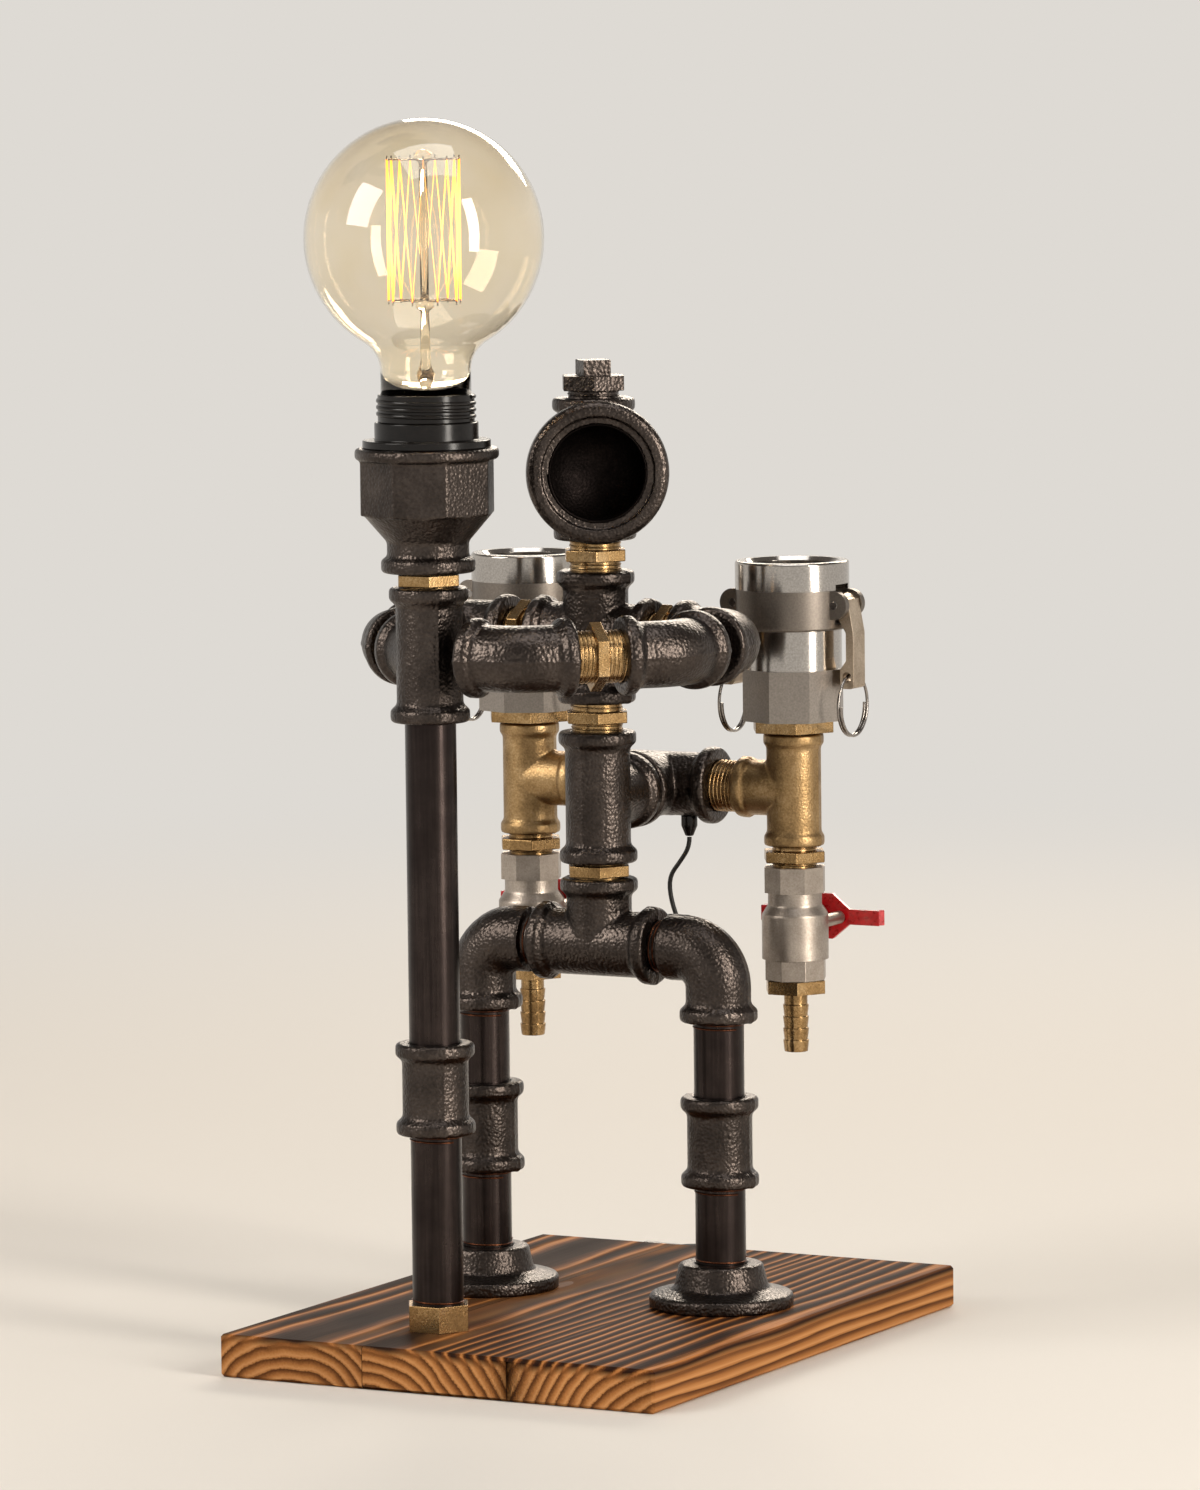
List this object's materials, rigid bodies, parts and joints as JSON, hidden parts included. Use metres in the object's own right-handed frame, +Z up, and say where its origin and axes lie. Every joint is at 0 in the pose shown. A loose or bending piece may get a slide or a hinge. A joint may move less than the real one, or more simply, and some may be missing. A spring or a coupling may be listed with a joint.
{
  "type": "spirits dispenser lamp",
  "caption": "Standing pipe-fitting robot on a wooden board: a globe lamp on a post at one side, and on its back cam couplers for upturned bottles with ball valves and spouts.",
  "frame": {"origin": "middle of the board's underside", "axes": "+Z up, the robot faces -Y, +X to the right seen from the front"},
  "size_m": [0.204, 0.3301, 0.5211],
  "materials": {
    "charred_wood": "scorched and oiled softwood",
    "cast_iron": "black malleable iron, pebbled and oiled",
    "dark_steel_pipe": "black steel pipe, satin",
    "brass": "turned and cast brass",
    "stainless_steel": "cast and turned stainless steel",
    "bright_steel": "bright steel",
    "nickel_plate": "matt nickel plate",
    "red_paint": "red enamel",
    "black_bakelite": "moulded, glossy",
    "black_rubber": "smooth",
    "white_seal": "waxy",
    "clear_glass": "amber-tinted clear glass",
    "hot_filament": "glowing wire"
  },
  "bodies": {
    "root": {"arm_nipples": "brass", "base_board": "charred_wood", "board_fasteners": "bright_steel", "cam_pins": "bright_steel", "chest_tee": "cast_iron", "close_nipples": "dark_steel_pipe", "cord_coil": "black_rubber", "cord_gland": "black_bakelite", "cord_tie": "black_bakelite", "coupler_bushes": "brass", "coupler_gaskets": "black_rubber", "dispenser_nipples": "brass", "dispenser_tees": "brass", "floor_flanges": "cast_iron", "forearm_elbows": "cast_iron", "head_bush": "cast_iron", "head_plug": "cast_iron", "head_tee": "cast_iron", "hip_elbows": "cast_iron", "hip_tee": "cast_iron", "hose_barbs": "brass", "lamp_lead": "black_rubber", "lamp_reducer": "cast_iron", "lampholder_body": "black_bakelite", "lampholder_ring": "black_bakelite", "left_coupler_body": "stainless_steel", "leg_pipes": "dark_steel_pipe", "pipe_couplings": "cast_iron", "plug": "black_bakelite", "post_base_nut": "brass", "post_pipes": "dark_steel_pipe", "post_tee": "cast_iron", "power_cord": "black_rubber", "rear_tee": "cast_iron", "right_coupler_body": "stainless_steel", "shoulder_cross": "cast_iron", "shoulder_elbows": "cast_iron", "upright_nipples": "brass", "valve_bodies": "nickel_plate", "valve_glands": "nickel_plate", "valve_inserts": "nickel_plate", "valve_seats": "white_seal"},
    "bulb": {"bulb_glass": "clear_glass", "bulb_cap": "nickel_plate", "bulb_stem": "clear_glass", "bulb_filament": "hot_filament"},
    "left_valve": {"left_valve_ball": "bright_steel", "left_valve_stem": "bright_steel", "left_valve_lever": "red_paint"},
    "left_inner_cam_arm_body": {"left_inner_cam_arm": "stainless_steel"},
    "left_inner_pull_ring_body": {"left_inner_pull_ring": "bright_steel"},
    "left_outer_cam_arm_body": {"left_outer_cam_arm": "stainless_steel"},
    "left_outer_pull_ring_body": {"left_outer_pull_ring": "bright_steel"},
    "right_valve": {"right_valve_ball": "bright_steel", "right_valve_stem": "bright_steel", "right_valve_lever": "red_paint"},
    "right_inner_cam_arm_body": {"right_inner_cam_arm": "stainless_steel"},
    "right_inner_pull_ring_body": {"right_inner_pull_ring": "bright_steel"},
    "right_outer_cam_arm_body": {"right_outer_cam_arm": "stainless_steel"},
    "right_outer_pull_ring_body": {"right_outer_pull_ring": "bright_steel"}
  },
  "joints": [
    {"name": "bulb_lift", "type": "slide", "parent": "root", "child": "bulb", "axis": [0, 0, 1], "range_m": [0, 0.03]},
    {"name": "left_valve_turn", "type": "hinge", "parent": "root", "child": "left_valve", "pos_m": [-0.064, 0.065, 0.175], "axis": [0, 1, 0], "range_deg": [0, 90]},
    {"name": "left_inner_cam_swing", "type": "hinge", "parent": "root", "child": "left_inner_cam_arm_body", "pos_m": [-0.04, 0.065, 0.3116], "axis": [0, -1, 0], "range_deg": [0, 120]},
    {"name": "left_inner_ring_swing", "type": "hinge", "parent": "left_inner_cam_arm_body", "child": "left_inner_pull_ring_body", "pos_m": [-0.0357, 0.065, 0.2811], "axis": [0, -1, 0], "range_deg": [-6, 75]},
    {"name": "left_outer_cam_swing", "type": "hinge", "parent": "root", "child": "left_outer_cam_arm_body", "pos_m": [-0.088, 0.065, 0.3116], "axis": [0, 1, 0], "range_deg": [0, 120]},
    {"name": "left_outer_ring_swing", "type": "hinge", "parent": "left_outer_cam_arm_body", "child": "left_outer_pull_ring_body", "pos_m": [-0.0923, 0.065, 0.2811], "axis": [0, 1, 0], "range_deg": [-6, 75]},
    {"name": "right_valve_turn", "type": "hinge", "parent": "root", "child": "right_valve", "pos_m": [0.064, 0.065, 0.175], "axis": [0, 1, 0], "range_deg": [0, 90]},
    {"name": "right_inner_cam_swing", "type": "hinge", "parent": "root", "child": "right_inner_cam_arm_body", "pos_m": [0.04, 0.065, 0.3116], "axis": [0, 1, 0], "range_deg": [0, 120]},
    {"name": "right_inner_ring_swing", "type": "hinge", "parent": "right_inner_cam_arm_body", "child": "right_inner_pull_ring_body", "pos_m": [0.0357, 0.065, 0.2811], "axis": [0, 1, 0], "range_deg": [-6, 75]},
    {"name": "right_outer_cam_swing", "type": "hinge", "parent": "root", "child": "right_outer_cam_arm_body", "pos_m": [0.088, 0.065, 0.3116], "axis": [0, -1, 0], "range_deg": [0, 120]},
    {"name": "right_outer_ring_swing", "type": "hinge", "parent": "right_outer_cam_arm_body", "child": "right_outer_pull_ring_body", "pos_m": [0.0923, 0.065, 0.2811], "axis": [0, -1, 0], "range_deg": [-6, 75]}
  ]
}
